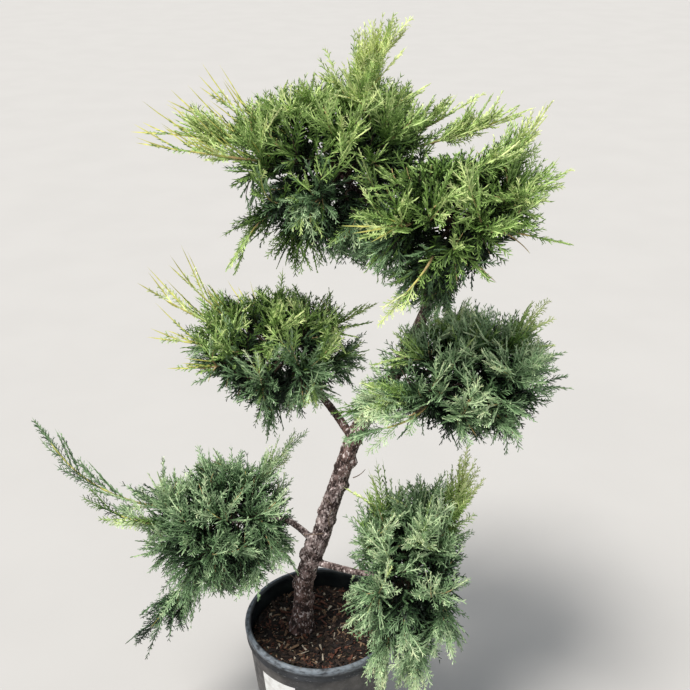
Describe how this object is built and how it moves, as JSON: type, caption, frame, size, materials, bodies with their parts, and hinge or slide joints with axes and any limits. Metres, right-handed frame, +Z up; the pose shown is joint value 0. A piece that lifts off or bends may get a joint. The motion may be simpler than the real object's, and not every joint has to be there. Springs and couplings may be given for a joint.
{
  "type": "potted pompom juniper topiary",
  "caption": "Pompom juniper in a round nursery pot: a winding stem on a mulched root ball carries loose balls of feathery evergreen sprays on short boughs.",
  "frame": {"origin": "centre of the pot's flat underside, on the surface it stands on", "axes": "+Z up along the pot's axis and the plant's height; +Y away from the viewer of the picture; +X to the right of the picture"},
  "size_m": [0.8789, 0.5271, 1.3364],
  "materials": {
    "pot": "satin black moulded plastic, rim weathered blue-grey, walls dusty",
    "root_ball": "moist potting mix under bark mulch",
    "bark": "flaky red-brown juniper bark",
    "foliage": "feathery evergreen sprays, yellow-green tips over blue-green shade"
  },
  "bodies": {
    "root": {"pot": "pot", "root_ball": "root_ball", "stem": "bark", "bough_low_left": "bark", "bough_low_right": "bark", "bough_mid_left": "bark", "bough_mid_right": "bark", "bough_upper_right": "bark", "bough_top": "bark", "foliage_top": "foliage", "foliage_upper_right": "foliage", "foliage_mid_right": "foliage", "foliage_mid_left": "foliage", "foliage_low_left": "foliage", "foliage_low_right": "foliage"}
  },
  "joints": []
}
